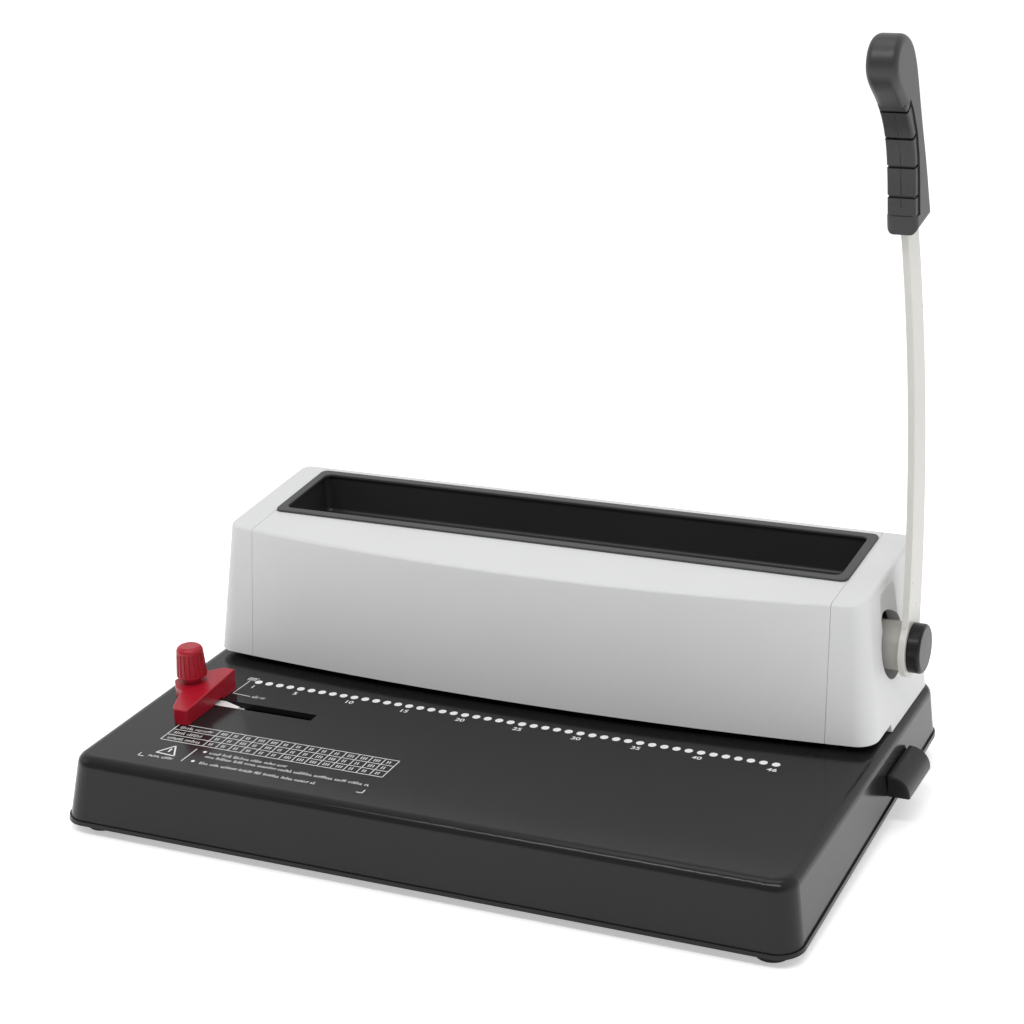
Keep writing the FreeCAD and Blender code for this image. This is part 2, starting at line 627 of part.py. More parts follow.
def arm_circle():
    """Centre and radius of the circle through the three points of the bowed arm."""
    (ax, ay), (bx, by), (cx, cy) = ARM_P0, ARM_P1, ARM_P2
    d = 2 * (ax * (by - cy) + bx * (cy - ay) + cx * (ay - by))
    a2 = ax * ax + ay * ay
    b2 = bx * bx + by * by
    c2 = cx * cx + cy * cy
    ux = (a2 * (by - cy) + b2 * (cy - ay) + c2 * (ay - by)) / d
    uy = (a2 * (cx - bx) + b2 * (ax - cx) + c2 * (bx - ax)) / d
    return ux, uy, math.hypot(ax - ux, ay - uy)


def arm_point(z, side, width):
    """Point on the bowed arm at about height z, half a width to the front (-1) or the back (1)."""
    cy, cz, r = arm_circle()
    a = math.asin((z - cz) / r)
    rr = r + side * width / 2
    return cy + rr * math.cos(a), cz + rr * math.sin(a)


def make_lever():
    zs = [AXIS_Z, 75.0, 110.0, 145.0, 180.0, 215.0, ARM_TOP]
    back = [arm_point(z, 1, arm_width(z)) for z in zs]
    front = [arm_point(z, -1, arm_width(z)) for z in zs]

    def curve(pts):
        c = Part.BSplineCurve()
        c.interpolate([V(ARM_X0, y, z) for y, z in pts])
        return c.toShape()

    e1 = curve(back)
    e2 = Part.LineSegment(V(ARM_X0, *back[-1]), V(ARM_X0, *front[-1])).toShape()
    e3 = curve(front[::-1])
    e4 = Part.LineSegment(V(ARM_X0, *front[0]), V(ARM_X0, *back[0])).toShape()
    strip = Part.Face(Part.Wire([e1, e2, e3, e4])).extrude(V(ARM_X1 - ARM_X0, 0, 0))
    long_edges = [e for e in strip.Edges if abs(e.BoundBox.XMin - ARM_X1) < 1e-4 and e.Length > 100.0]
    strip = round_edges(strip, long_edges, [0.5, 0.3])
    boss = cyl(BOSS_R, (ARM_X0, AXIS_Y, AXIS_Z), (ARM_X1, AXIS_Y, AXIS_Z))
    rim = [e for e in boss.Edges if abs(e.BoundBox.XMin - ARM_X1) < 1e-4]
    boss = round_edges(boss, rim, [0.5, 0.3])
    arm = strip.fuse(boss).removeSplitter()
    # a narrower tang runs up inside the grip
    tang = prism_x(tang_outline(0.0), ARM_X0, ARM_X1)
    arm = arm.fuse(tang).removeSplitter()
    arm = arm.cut(cyl(3.0, (180.0, AXIS_Y, AXIS_Z), (200.0, AXIS_Y, AXIS_Z)))
    add("lever_arm", arm)

    cap = cyl(CAP_R, (ARM_X1, AXIS_Y, AXIS_Z), (ARM_X1 + 6.6, AXIS_Y, AXIS_Z))
    rim = [e for e in cap.Edges if abs(e.BoundBox.XMin - ARM_X1 - 6.6) < 1e-6]
    cap = round_edges(cap, rim, [1.8, 1.2])
    cap = cap.cut(cyl(6.3, (ARM_X1 - 1, AXIS_Y, AXIS_Z), (ARM_X1 + 4.0, AXIS_Y, AXIS_Z)))
    add("boss_cap", cap)
    make_grip()


# side outline of the grip as (y, z): up the finger side, then over the nose and down the back
GRIP_FRONT = [(46.4, 249.6), (45.6, 262.0), (45.2, 273.0), (43.8, 285.0), (40.6, 295.5),
              (34.6, 305.5), (27.0, 313.5)]
GRIP_REST = [(18.6, 320.6), (13.8, 328.0), (15.0, 336.0), (21.5, 341.8), (30.0, 342.6),
             (39.5, 338.4), (46.0, 330.0), (51.0, 317.0), (56.8, 299.0), (62.2, 284.0),
             (67.4, 267.0), (71.2, 253.6)]
PAD_X0, PAD_X1 = 181.1, 194.3      # the finger pads are a little narrower than the grip
PAD_DEPTH = 5.6
PAD_INSET = 0.5
GROOVES = ((33.2, 307.4, 0.78), (41.3, 294.0, 0.34), (44.6, 280.6, 0.14), (45.5, 267.0, 0.03))


def pad_zone(x0, x1):
    """Region along the grip's front, from its lower band up to the nose, that the finger pads fill."""
    front = [(46.0, 258.2)] + GRIP_FRONT[1:-1] + [(29.6, 311.0)]
    lean = [0.0, 0.0, 0.1, 0.2, 0.35, 0.6, 0.7]
    outside = [(y - 12.0, z - 12.0 * a) for (y, z), a in zip(front, lean)]
    inside = [(y + PAD_DEPTH, z + PAD_DEPTH * 0.6 * a) for (y, z), a in zip(front, lean)]
    return prism_x(outside + inside[::-1], x0, x1)


def make_grip():
    """Moulded grip: nose at the top front, finger pads with grooves between them, a smooth panel behind."""
    side = Part.BSplineCurve()
    side.interpolate([V(GRIP_X0, y, z) for y, z in GRIP_FRONT + GRIP_REST])
    bottom = Part.LineSegment(V(GRIP_X0, *GRIP_REST[-1]), V(GRIP_X0, *GRIP_FRONT[0])).toShape()
    sharp = Part.Face(Part.Wire([side.toShape(), bottom])).extrude(V(GRIP_X1 - GRIP_X0, 0, 0))
    sides = [e for e in sharp.Edges if abs(e.BoundBox.XMax - e.BoundBox.XMin) < 1e-4]
    block = round_edges(sharp, sides, [3.6, 3.0, 2.4, 1.6])

    pads = sharp.copy()
    pads.translate(V(0, PAD_INSET, 0))
    pads = pads.common(pad_zone(PAD_X0, PAD_X1)).common(sharp)
    long_edges = [e for e in pads.Edges if e.BoundBox.XMax - e.BoundBox.XMin < 1e-4 and e.Length > 45.0
                  and e.CenterOfMass.y < 42.5]
    pads = round_edges(pads, long_edges, [1.2, 0.8, 0.5])
    cuts = []
    for y, z, slope in GROOVES:
        for x0, x1, deep in ((PAD_X0 - 1.0, PAD_X1 + 1.0, 1.8), (PAD_X0 - 1.0, PAD_X0 + 0.6, 6.6),
                             (PAD_X1 - 0.6, PAD_X1 + 1.0, 6.6)):
            bar = Part.makeBox(x1 - x0, deep + 1.9, 1.4, V(x0, -1.9, -0.7))
            bar.rotate(V(0, 0, 0), V(1, 0, 0), math.degrees(math.atan(slope)))
            bar.translate(V(0, y, z))
            cuts.append(bar)
    # fine mould seam down the middle of the pads
    middle = (PAD_X0 + PAD_X1) / 2
    line = GRIP_FRONT[1:-1]
    seam = [(y - 2.0, z) for y, z in line] + [(y + PAD_INSET + 0.4, z) for y, z in reversed(line)]
    cuts.append(prism_x(seam, middle - 0.17, middle + 0.17))
    pads = cut(pads, cuts)
    block = block.cut(pad_zone(GRIP_X0 - 5.0, GRIP_X1 + 5.0)).fuse(pads)

    # socket for the tang and the top of the arm, cut a hair larger
    socket = prism_x(tang_outline(0.05), ARM_X0 - 0.05, ARM_X1 + 0.05)
    zs = [240.0, 247.0, ARM_TOP + 0.05]
    back = [arm_point(z, 1, arm_width(z) + 0.1) for z in zs]
    front = [arm_point(z, -1, arm_width(z) + 0.1) for z in zs]
    mouth = prism_x(back + front[::-1], ARM_X0 - 0.05, ARM_X1 + 0.05)
    add("lever_grip", cut(block, [socket, mouth]).removeSplitter())


def arm_width(z):
    return 21.5 - 4.5 * (z - AXIS_Z) / 200.0


def tang_outline(grow):
    zs = [ARM_TOP - 4.0, 262.0, 268.0, 274.0 + grow]
    back = [arm_point(z, 1, 9.0 + 2 * grow) for z in zs]
    front = [arm_point(z, -1, 9.0 + 2 * grow) for z in zs]
    return back + front[::-1]


# ---------------------------------------------------------------- waste tray
def wall_x(z):
    """Outer face of the base's right side near the tray, at a height."""
    return right_wall_x((PULL_Y0 + PULL_Y1) / 2, -z / BASE_H)


def make_tray():
    x1 = 183.0
    outer = box(TRAY_X0, x1, TRAY_Y0, TRAY_Y1, TRAY_Z0, TRAY_Z1)
    up = [e for e in outer.Edges if abs(e.BoundBox.ZMax - e.BoundBox.ZMin) > 5.0 and e.BoundBox.XMax < 0]
    outer = round_edges(outer, up, [3.0])
    well = box(TRAY_X0 + 1.6, x1 - 1.6, TRAY_Y0 + 1.6, TRAY_Y1 - 1.6, TRAY_Z0 + 1.5, TRAY_Z1 + 1.0)
    vert = [e for e in well.Edges if abs(e.BoundBox.ZMax - e.BoundBox.ZMin) > 5.0]
    well = round_edges(well, vert, [2.0])
    add("waste_tray", outer.cut(well))

    # quarter-round pull on the tray's end; it covers the mouth in the base
    x_in = wall_x(PULL_Z0) + 0.35
    x_out = x_in + PULL_OUT
    profile = [
        Part.LineSegment(V(x_in, 0, PULL_Z0), V(x_out, 0, PULL_Z0)).toShape(),
        Part.LineSegment(V(x_out, 0, PULL_Z0), V(x_out, 0, PULL_Z0 + 0.8)).toShape(),
        Part.Arc(V(x_out, 0, PULL_Z0 + 0.8), V(x_in + PULL_OUT * 0.72, 0, PULL_Z0 + 0.8 + 7.2),
                 V(x_in + 1.5, 0, PULL_Z1)).toShape(),
        Part.LineSegment(V(x_in + 1.5, 0, PULL_Z1), V(x_in, 0, PULL_Z1)).toShape(),
        Part.LineSegment(V(x_in, 0, PULL_Z1), V(x_in, 0, PULL_Z0)).toShape(),
    ]
    bar = Part.Face(Part.Wire(profile)).extrude(V(0, PULL_Y1 - PULL_Y0, 0))
    bar.translate(V(0, PULL_Y0, 0))
    ends = [e for e in bar.Edges if e.BoundBox.YMax - e.BoundBox.YMin < 1e-6
            and e.BoundBox.XMax > x_in + 2.0 and e.BoundBox.ZMax > PULL_Z0 + 0.9]
    bar = round_edges(bar, ends, [1.0, 0.6, 0.4])
    bar = bar.cut(box(x_in + 1.6, x_out - 2.0, PULL_Y0 + 2.0, PULL_Y1 - 2.0, PULL_Z0 - 1.0, PULL_Z0 + 3.2))
    neck = box(x1, x_in, TRAY_Y0 + 0.6, TRAY_Y1 - 0.6, TRAY_Z0 + 0.3, TRAY_Z1 - 0.3)
    add("tray_pull", bar.fuse(neck).removeSplitter())

    # plastic runners under the table guide the tray's sides, and ledges on the bottom plate carry it
    for name, y0, y1 in (("front", 28.0, 31.4), ("rear", 65.2, 68.6)):
        add("tray_runner_" + name, box(-151.0, 176.0, y0, y1, TRAY_Z0 - 2.0, -BASE_WALL))
    for name, y0, y1 in (("front", 32.6, 36.4), ("rear", 60.2, 64.0)):
        low0, low1 = plate_top(y0), plate_top(y1)
        top = TRAY_Z0 - 0.2
        add("tray_ledge_" + name, prism_x([(y0, low0), (y1, low1), (y1, top), (y0, top)], -148.0, 174.0))


# ---------------------------------------------------------------- edge guide
def make_guide():
    """Fence with its flat side to the paper, a knob beside it, and a plate that holds it in the slot."""
    outline = [(-150.2, -11.0), (-157.2, -11.0), (-167.0, -19.8), (-173.4, -25.0), (-174.6, -31.0),
               (-170.6, -36.5), (-164.6, -40.5), (-160.2, -55.5), (-157.6, -58.6), (-150.2, -58.6)]
    block = prism_z(outline, 0.25, 20.0)
    # the top rises towards the back end
    top = prism_x([(-60.0, 8.3), (-9.0, 11.5), (-9.0, 25.0), (-60.0, 25.0)], -180.0, -145.0)
    block = block.cut(top)
    sides = [e for e in block.Edges if abs(e.BoundBox.ZMax - e.BoundBox.ZMin) > 6.0]
    block = round_edges(block, sides, [0.8, 0.5])
    rim = [e for e in block.Edges if e.BoundBox.ZMin > 7.0]
    block = round_edges(block, rim, [0.6, 0.4, 0.3])
    neck = cyl(4.6, (KNOB_X, SLOT_Y, 5.0), (KNOB_X, SLOT_Y, 12.9))
    body = block.fuse(neck).removeSplitter()
    tongue = box(-172.0, -157.0, SLOT_Y - SLOT_W / 2 + 0.15, SLOT_Y + SLOT_W / 2 - 0.15, -BASE_WALL, 0.3)
    body = body.fuse(tongue).removeSplitter()
    # small relief under the fence where it crosses the slot
    body = body.cut(box(-156.6, -149.0, SLOT_Y - 4.0, SLOT_Y + 4.0, 0.0, 1.8))
    body = body.cut(cyl(2.1, (KNOB_X, SLOT_Y, -6.0), (KNOB_X, SLOT_Y, 13.0)))
    add("guide_body", body)

    plate = box(-180.0, -137.5, SLOT_Y - 8.5, SLOT_Y + 8.5, -5.0, -3.3)
    plate = plate.cut(cyl(2.1, (KNOB_X, SLOT_Y, -6.0), (KNOB_X, SLOT_Y, -3.0)))
    # bright strip that fills the slot beside the fence, its end sloping down
    strip = prism_z([(-156.4, SLOT_Y - 3.3), (-137.5, SLOT_Y - 3.3), (-137.5, SLOT_Y - 0.5),
                     (-148.0, SLOT_Y + 3.3), (-156.4, SLOT_Y + 3.3)], -3.4, -0.5)
    add("guide_slide_plate", plate.fuse(strip).removeSplitter())

    # thumb knob: a fluted cone with a domed top
    z0, z1, r0, r1 = 13.0, 29.8, KNOB_R, 6.7
    knob = Part.makeCone(r0, r1, z1 - z0, V(KNOB_X, SLOT_Y, z0))
    rim = [e for e in knob.Edges if abs(e.BoundBox.ZMin - z1) < 1e-6]
    knob = round_edges(knob, rim, [2.6, 2.0])
    low = [e for e in knob.Edges if abs(e.BoundBox.ZMax - z0) < 1e-6]
    knob = round_edges(knob, low, [1.0, 0.6])
    flutes = []
    count = 18
    for i in range(count):
        a = 2 * math.pi * i / count
        c, n = math.cos(a), math.sin(a)
        low_end = (KNOB_X + (r0 + 0.1) * c, SLOT_Y + (r0 + 0.1) * n, z0 + 1.4)
        high_end = (KNOB_X + (r1 + 0.45) * c, SLOT_Y + (r1 + 0.45) * n, z1 - 3.4)
        flutes.append(cyl(0.75, low_end, high_end))
    knob = cut(knob, flutes)
    knob = knob.cut(cyl(2.0, (KNOB_X, SLOT_Y, 12.0), (KNOB_X, SLOT_Y, 24.0)))
    add("guide_knob", knob)
    screw = cyl(2.0, (KNOB_X, SLOT_Y, -8.5), (KNOB_X, SLOT_Y, 24.0))
    disc = cyl(4.0, (KNOB_X, SLOT_Y, -8.5), (KNOB_X, SLOT_Y, -7.0))
    add("guide_screw", screw.fuse(disc).removeSplitter())


# ---------------------------------------------------------------- build and export
def build():
    add("base_shell", make_base())
    make_bottom()
    make_housing()
    make_trough()
    make_frames()
    make_die()
    make_press()
    make_drive()
    make_lever()
    make_tray()
    make_guide()


build()
whole = Part.makeCompound(list(nodes.values()))
bb = whole.optimalBoundingBox(False)
shift = V(-(bb.XMin + bb.XMax) / 2, -(bb.YMin + bb.YMax) / 2, -FOOT_BOTTOM)
shift = V(round(shift.x, 2), round(shift.y, 2), round(shift.z, 2))
print("bounds", [round(v, 2) for v in (bb.XMin, bb.YMin, bb.ZMin, bb.XMax, bb.YMax, bb.ZMax)])
print("moved by", shift)

os.makedirs("parts", exist_ok=True)
for name, shape in nodes.items():
    moved = shape.copy()
    moved.translate(shift)
    ok = moved.isValid()
    print("%-22s solids %3d  volume %10.1f  valid %s" % (name, len(moved.Solids), moved.Volume, ok))
    moved.exportStep("parts/%s.step" % name)
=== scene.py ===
import json
import math
import random

import bmesh
import bpy
from mathutils import Matrix, Vector


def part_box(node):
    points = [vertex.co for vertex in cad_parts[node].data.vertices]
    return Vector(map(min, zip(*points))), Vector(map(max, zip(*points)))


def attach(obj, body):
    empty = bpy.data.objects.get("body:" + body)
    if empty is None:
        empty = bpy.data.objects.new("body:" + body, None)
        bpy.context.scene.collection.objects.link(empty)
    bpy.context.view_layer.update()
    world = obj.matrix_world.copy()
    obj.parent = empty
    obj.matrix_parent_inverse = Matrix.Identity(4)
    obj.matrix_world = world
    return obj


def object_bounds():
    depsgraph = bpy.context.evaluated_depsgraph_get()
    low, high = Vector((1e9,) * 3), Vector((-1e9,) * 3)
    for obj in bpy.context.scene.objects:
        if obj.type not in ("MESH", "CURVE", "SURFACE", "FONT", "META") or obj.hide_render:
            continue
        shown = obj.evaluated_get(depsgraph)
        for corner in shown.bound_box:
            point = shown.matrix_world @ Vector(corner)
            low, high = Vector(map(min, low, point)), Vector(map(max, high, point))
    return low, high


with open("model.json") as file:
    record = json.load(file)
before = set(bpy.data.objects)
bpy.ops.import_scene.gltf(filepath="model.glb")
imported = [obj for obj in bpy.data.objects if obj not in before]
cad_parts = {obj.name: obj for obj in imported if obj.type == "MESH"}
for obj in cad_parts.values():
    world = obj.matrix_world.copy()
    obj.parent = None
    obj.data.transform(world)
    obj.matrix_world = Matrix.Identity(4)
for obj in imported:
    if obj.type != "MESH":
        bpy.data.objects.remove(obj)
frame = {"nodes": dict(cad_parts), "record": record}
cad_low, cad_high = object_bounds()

# Looks of the coil binding punch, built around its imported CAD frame.  Lengths are metres.
random.seed(46)
MM = 0.001

# Places that the frame gives: the row of pins and the height of the paper table.
PINS_LOW, PINS_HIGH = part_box("punch_pins")
ROW_X = (PINS_LOW.x + PINS_HIGH.x) / 2
PIN_Y = (PINS_LOW.y + PINS_HIGH.y) / 2
TABLE_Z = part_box("die_plate")[1].z
HOLES = 46
PITCH = 6.35 * MM

# The printing and the camera are placed from the point on the table under the body's middle,
# where the row of printed marks runs.
MIDDLE = Vector((ROW_X + 0.6 * MM, PIN_Y - 44.0 * MM, TABLE_Z))
INK_Z = TABLE_Z + 0.03 * MM         # top of the printed ink


# ---------------------------------------------------------------- node helpers
# A noise value stays mostly between these two, so they are the ends of its useful range.
NOISE_LOW, NOISE_HIGH = 0.3, 0.7


class Finish:
    """A material with a Principled shader, and short calls that add nodes to it."""

    def __init__(self, name, color, roughness, metallic=0.0, specular=0.5):
        self.material = bpy.data.materials.new(name)
        self.material.use_nodes = True
        self.tree = self.material.node_tree
        self.shader = self.tree.nodes["Principled BSDF"]
        self.shader.inputs["Base Color"].default_value = (*color, 1.0)
        self.shader.inputs["Roughness"].default_value = roughness
        self.shader.inputs["Metallic"].default_value = metallic
        self.shader.inputs["Specular IOR Level"].default_value = specular
        self.place = self.tree.nodes.new("ShaderNodeTexCoord").outputs["Object"]
        self.color = color
        self.roughness = roughness

    def link(self, a, b):
        self.tree.links.new(a, b)

    def stretched(self, scale):
        """Object coordinates scaled by three factors, for grain that runs one way."""
        node = self.tree.nodes.new("ShaderNodeMapping")
        node.inputs["Scale"].default_value = scale
        self.link(self.place, node.inputs["Vector"])
        return node.outputs["Vector"]

    def noise(self, scale, detail=3.0, rough=0.55, place=None):
        """Value of a noise with this many features to the metre."""
        node = self.tree.nodes.new("ShaderNodeTexNoise")
        node.inputs["Scale"].default_value = scale
        node.inputs["Detail"].default_value = detail
        node.inputs["Roughness"].default_value = rough
        self.link(place or self.place, node.inputs["Vector"])
        return node.outputs["Fac"]

    def spread(self, value, low, high, out_low, out_high):
        """The value moved from one range to another."""
        node = self.tree.nodes.new("ShaderNodeMapRange")
        node.inputs["From Min"].default_value = low
        node.inputs["From Max"].default_value = high
        node.inputs["To Min"].default_value = out_low
        node.inputs["To Max"].default_value = out_high
        self.link(value, node.inputs["Value"])
        return node.outputs["Result"]

    def tones(self, value, dark, light):
        """Base colour runs from dark to light with the value."""
        node = self.tree.nodes.new("ShaderNodeValToRGB")
        node.color_ramp.elements[0].position = NOISE_LOW
        node.color_ramp.elements[0].color = (*dark, 1.0)
        node.color_ramp.elements[1].position = NOISE_HIGH
        node.color_ramp.elements[1].color = (*light, 1.0)
        self.link(value, node.inputs["Fac"])
        return node.outputs["Color"]

    def mottle(self, share, scale):
        """Slight cloudiness: the colour varies by a share either way."""
        dark = [c * (1.0 - share) for c in self.color]
        light = [min(1.0, c * (1.0 + share)) for c in self.color]
        self.link(self.tones(self.noise(scale, 4.0), dark, light), self.shader.inputs["Base Color"])

    def gloss(self, spread, scale, place=None):
        """Roughness varies by an amount either way."""
        cloud = self.noise(scale, 4.0, 0.6, place)
        low, high = self.roughness - spread, self.roughness + spread
        value = self.spread(cloud, NOISE_LOW, NOISE_HIGH, low, high)
        self.link(value, self.shader.inputs["Roughness"])

    def bumps(self, *layers):
        """Each layer is (height value, depth in metres, strength)."""
        normal = None
        for value, depth, strength in layers:
            node = self.tree.nodes.new("ShaderNodeBump")
            node.inputs["Distance"].default_value = depth
            node.inputs["Strength"].default_value = strength
            self.link(value, node.inputs["Height"])
            if normal:
                self.link(normal, node.inputs["Normal"])
            normal = node.outputs["Normal"]
        self.link(normal, self.shader.inputs["Normal"])


# ---------------------------------------------------------------- finishes
CLOUDS = 18.0           # noise features to the metre: slow changes of colour
SMUDGES = 12.0          # slow changes of gloss
WAVES = 14.0            # sink waves in moulded faces
SPARK_GRAIN = 2600.0    # the fine grain of a spark-eroded mould
ALONG_X = (0.05, 1.0, 1.0)     # stretches a noise into lines along X
ALONG_Z = (1.0, 1.0, 0.05)     # and into lines along Z


def moulded(name, color, roughness, grain=0.2, mottle=0.05, specular=0.5):
    """Moulded plastic: faint spark grain, slow sink waves, and smudges that change the gloss."""
    f = Finish(name, color, roughness, specular=specular)
    f.mottle(mottle, CLOUDS)
    f.gloss(0.02, SMUDGES)
    f.bumps((f.noise(WAVES, 1.0), 0.3 * MM, 0.05), (f.noise(SPARK_GRAIN, 2.0), 0.02 * MM, grain))
    return f.material


def enamel(name, color, roughness):
    """Paint on steel, with a slight orange peel."""
    f = Finish(name, color, roughness)
    f.mottle(0.015, 14.0)
    f.gloss(0.04, 20.0)
    f.bumps((f.noise(900.0, 2.0), 0.01 * MM, 0.08))
    return f.material


def steel(name, color, roughness, along=(1.0, 1.0, 1.0)):
    """Worked steel: fine lines across the given directions and patches of different polish."""
    f = Finish(name, color, roughness, metallic=1.0)
    lines = f.stretched(along)
    f.mottle(0.10, 60.0)
    f.gloss(0.09, 900.0, lines)
    f.bumps((f.noise(1500.0, 4.0, 0.6, lines), 0.02 * MM, 0.3))
    return f.material


def rubber(name, color):
    """Matt rubber with a coarse grain."""
    f = Finish(name, color, 0.78, specular=0.3)
    f.mottle(0.15, 90.0)
    f.gloss(0.06, 120.0)
    f.bumps((f.noise(1800.0, 3.0), 0.05 * MM, 0.5))
    return f.material


def ink(name, color):
    """Screen-printed ink: slightly uneven cover and a fine tooth."""
    f = Finish(name, color, 0.6)
    f.mottle(0.05, 900.0)
    f.gloss(0.05, 300.0)
    f.bumps((f.noise(3000.0, 2.0), 0.01 * MM, 0.3))
    return f.material


FINISHES = {
    "base_black": moulded("base_black", (0.0130, 0.0130, 0.0138), 0.17,
                          grain=0.03, mottle=0.06, specular=0.22),
    "bottom_black": enamel("bottom_black", (0.02, 0.02, 0.021), 0.5),
    "foot_rubber": rubber("foot_rubber", (0.012, 0.012, 0.012)),
    "shell_white": moulded("shell_white", (0.635, 0.637, 0.64), 0.46,
                           grain=0.12, mottle=0.012, specular=0.4),
    "trough_black": moulded("trough_black", (0.024, 0.024, 0.026), 0.46, grain=0.2, mottle=0.1),
    "rim_grey": moulded("rim_grey", (0.045, 0.045, 0.047), 0.48, grain=0.6, mottle=0.08),
    "frame_steel": steel("frame_steel", (0.45, 0.46, 0.47), 0.38),
    "tool_steel": steel("tool_steel", (0.40, 0.40, 0.41), 0.30, ALONG_Z),
    "zinc_steel": steel("zinc_steel", (0.58, 0.58, 0.57), 0.30),
    "bush_brass": steel("bush_brass", (0.62, 0.43, 0.16), 0.30, ALONG_X),
    "lever_cream": enamel("lever_cream", (0.55, 0.54, 0.505), 0.30),
    "hub_grey": enamel("hub_grey", (0.38, 0.365, 0.34), 0.42),
    "grip_black": moulded("grip_black", (0.020, 0.020, 0.021), 0.42, grain=0.45, mottle=0.15),
    "cap_black": moulded("cap_black", (0.014, 0.014, 0.015), 0.28,
                         grain=0.08, mottle=0.1, specular=0.18),
    "guide_red": moulded("guide_red", (0.36, 0.007, 0.020), 0.30,
                         grain=0.08, mottle=0.06, specular=0.36),
    "strip_nickel": enamel("strip_nickel", (0.80, 0.79, 0.78), 0.35),
}
PRINT_WHITE = ink("print_white", (0.78, 0.78, 0.78))


def dress_frame():
    """Every CAD node gets the finish of its slot in the record."""
    slots = {}
    for part in frame["record"]["subparts"]:
        slots[part["node"]] = part["material_slot"]
    for name, node in frame["nodes"].items():
        if not node.material_slots:
            node.data.materials.append(None)
        for slot in node.material_slots:
            slot.material = FINISHES[slots[name]]


# ---------------------------------------------------------------- printing on the table
class Ink:
    """Collects thin flat shapes on the paper table as one mesh."""

    def __init__(self):
        self.bm = bmesh.new()

    def polygon(self, points):
        """One flat face through the points."""
        self.bm.faces.new([self.bm.verts.new((x, y, INK_Z)) for x, y in points])

    def disc(self, x, y, radius, sides=28):
        ring = [2 * math.pi * i / sides for i in range(sides)]
        self.polygon([(x + radius * math.cos(a), y + radius * math.sin(a)) for a in ring])

    def stroke(self, x0, y0, x1, y1, width):
        """A straight line of the given width with square ends."""
        along = Vector((x1 - x0, y1 - y0)).normalized()
        side = Vector((-along.y, along.x)) * width / 2
        corners = [(x0 - side.x, y0 - side.y), (x1 - side.x, y1 - side.y)]
        corners += [(x1 + side.x, y1 + side.y), (x0 + side.x, y0 + side.y)]
        self.polygon(corners)

    def piece(self, name):
        mesh = bpy.data.meshes.new(name)
        self.bm.to_mesh(mesh)
        self.bm.free()
        return print_piece(name, mesh)


def print_piece(name, mesh):
    """A printed piece that rides the body, in the white ink."""
    obj = bpy.data.objects.new(name, mesh)
    bpy.context.scene.collection.objects.link(obj)
    mesh.materials.clear()
    mesh.materials.append(PRINT_WHITE)
    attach(obj, "chassis")
    return obj


# Sizes of the printing, in millimetres.
MARK_R = 2.05
NUMBER_SIZE = 4.4
NUMBER_STRETCH = 1.15
NUMBER_BOLD = 0.06
NUMBER_DROP = 6.0       # from the row of marks down to the row of numbers
LINE = 0.45             # bracket
RULE = 0.42             # lines of the table
EDGE = 0.5              # dividing line and corner marks
FIGURE_H = 1.3
FIGURE_STEP = 1.3
LETTER_STEP = 1.28
LETTER_W = 0.42
WORD_GAP = 1.1


def label_point(x, y):
    """A place on the table in millimetres, from the middle of the body and the row of marks."""
    return MIDDLE.x + x * MM, MIDDLE.y + y * MM


def hole_x(i):
    """Place of a hole along the row, counted from 0 at the left."""
    return ROW_X + (i - (HOLES - 1) / 2) * PITCH


def row_marks():
    """One round mark for each hole."""
    marks = Ink()
    for i in range(HOLES):
        marks.disc(hole_x(i), MIDDLE.y, MARK_R * MM)
    return marks.piece("row_marks")


def number_mesh(number):
    """Flat mesh of a number, written under its mark."""
    text = bpy.data.curves.new("number", "FONT")
    text.body = str(number)
    text.size = NUMBER_SIZE * MM
    text.align_x = "CENTER"
    text.align_y = "CENTER"
    text.offset = NUMBER_BOLD * MM
    maker = bpy.data.objects.new("number", text)
    bpy.context.scene.collection.objects.link(maker)
    bpy.context.view_layer.update()
    graph = bpy.context.evaluated_depsgraph_get()
    mesh = bpy.data.meshes.new_from_object(maker.evaluated_get(graph))
    place = Matrix.Translation((hole_x(number - 1), MIDDLE.y - NUMBER_DROP * MM, INK_Z))
    mesh.transform(place @ Matrix.Diagonal((NUMBER_STRETCH, 1.0, 1.0, 1.0)))
    bpy.data.objects.remove(maker)
    return mesh


def row_numbers():
    """Small numbers under the first, every fifth and the last mark."""
    bm = bmesh.new()
    for number in [1] + list(range(5, HOLES - 1, 5)) + [HOLES]:
        bm.from_mesh(number_mesh(number))
    joined = bpy.data.meshes.new("row_numbers")
    bm.to_mesh(joined)
    bm.free()
    return print_piece("row_numbers", joined)


def size_bracket():
    """Bracket from the first mark to a paper-size name, which is left as plain strokes."""
    lines = Ink()
    top, corner, end = (-148.8, -0.2), (-149.4, -16.2), (-138.7, -17.0)
    for a, b in ((top, corner), (corner, end)):
        lines.stroke(*label_point(*a), *label_point(*b), LINE * MM)
    # four short upright strokes with one bar across them, left of the first mark
    for i in range(4):
        x, y = label_point(-150.6 + 1.35 * i, 2.0)
        lines.stroke(x, y - 1.6 * MM, x, y + 1.6 * MM, 0.5 * MM)
    x, y = label_point(-146.0, 3.6)
    lines.stroke(x - 4.6 * MM, y, x + 1.0 * MM, y, 0.4 * MM)
    words(lines, -136.9, -16.4, -130.6, 3.0)
    return lines.piece("size_bracket")


